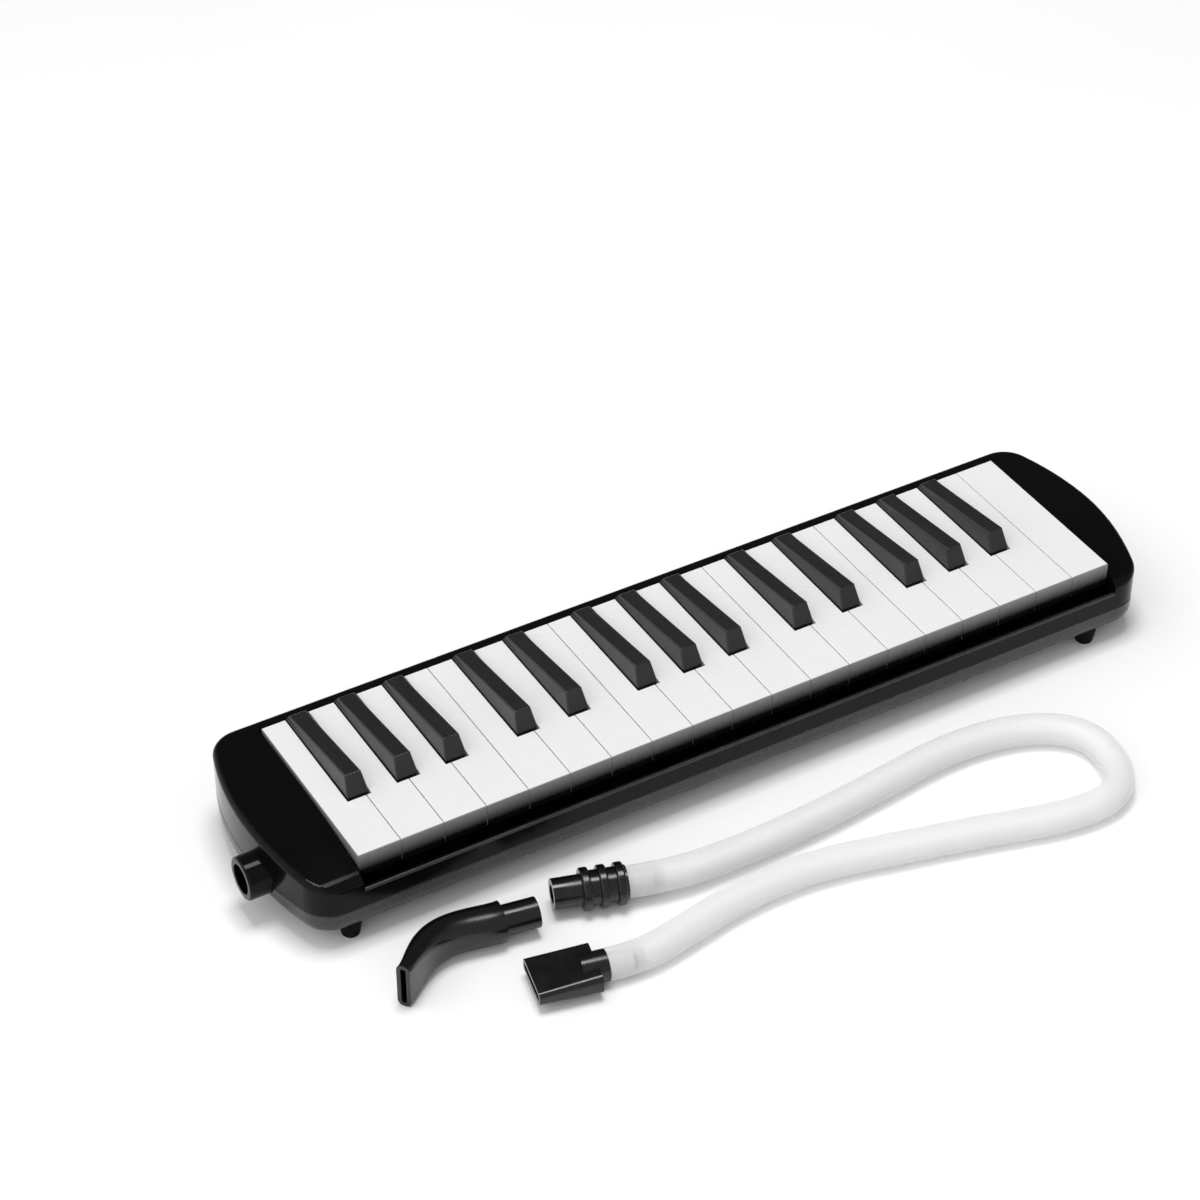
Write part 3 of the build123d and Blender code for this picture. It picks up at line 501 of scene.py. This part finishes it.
# ---------------------------------------------------------------- floor and light
def make_floor():
    """A plain pale table, far larger than the view."""
    half = 6.0
    outline = [(-half, -half, 0), (half, -half, 0), (half, half, 0), (-half, half, 0)]
    floor = new_object("floor", outline, [(0, 1, 2, 3)], smooth=False)
    shader = Shader("floor_white", (0.97, 0.97, 0.97), 0.8)
    shader.set(Specular_IOR_Level=0.1)
    shader.tint(shader.ramp(shader.noise(4, 2), 0, 0.3), (0.92, 0.92, 0.92))
    paint(floor, shader.material)


def area_light(name, place, target, size, power):
    """A soft square light that faces a target."""
    data = bpy.data.lights.new(name, "AREA")
    data.shape = "RECTANGLE"
    data.size, data.size_y = size
    data.energy = power
    light = bpy.data.objects.new(name, data)
    bpy.context.scene.collection.objects.link(light)
    light.location = place
    light.rotation_euler = (Vector(target) - Vector(place)).to_track_quat("-Z", "Y").to_euler()
    return light


def sky():
    """A studio dome: pale on the left and in front, dim behind and on the right."""
    world = bpy.data.worlds.new("studio")
    bpy.context.scene.world = world
    world.use_nodes = True
    tree = world.node_tree
    split = tree.nodes.new("ShaderNodeSeparateXYZ")
    tree.links.new(tree.nodes.new("ShaderNodeTexCoord").outputs["Generated"], split.inputs["Vector"])
    brighter = tree.nodes.new("ShaderNodeMath")
    brighter.operation = "MAXIMUM"
    for number, (axis, full, value) in enumerate((("X", -0.5, 1.15), ("Y", -0.5, 0.5))):
        ramp = tree.nodes.new("ShaderNodeMapRange")
        for name, setting in (("From Min", full), ("From Max", 0.05), ("To Min", value), ("To Max", 0.12)):
            ramp.inputs[name].default_value = setting
        tree.links.new(split.outputs[axis], ramp.inputs["Value"])
        tree.links.new(ramp.outputs["Result"], brighter.inputs[number])
    tree.links.new(brighter.outputs["Value"], tree.nodes["Background"].inputs["Strength"])
    tree.nodes["Background"].inputs["Color"].default_value = (1, 1, 1, 1)


make_floor()
sky()
area_light("overhead_softbox", (0.0, 0.12, 2.0), (0, 0, 0), (0.8, 0.7), 23)
bpy.context.scene.view_settings.view_transform = "Standard"
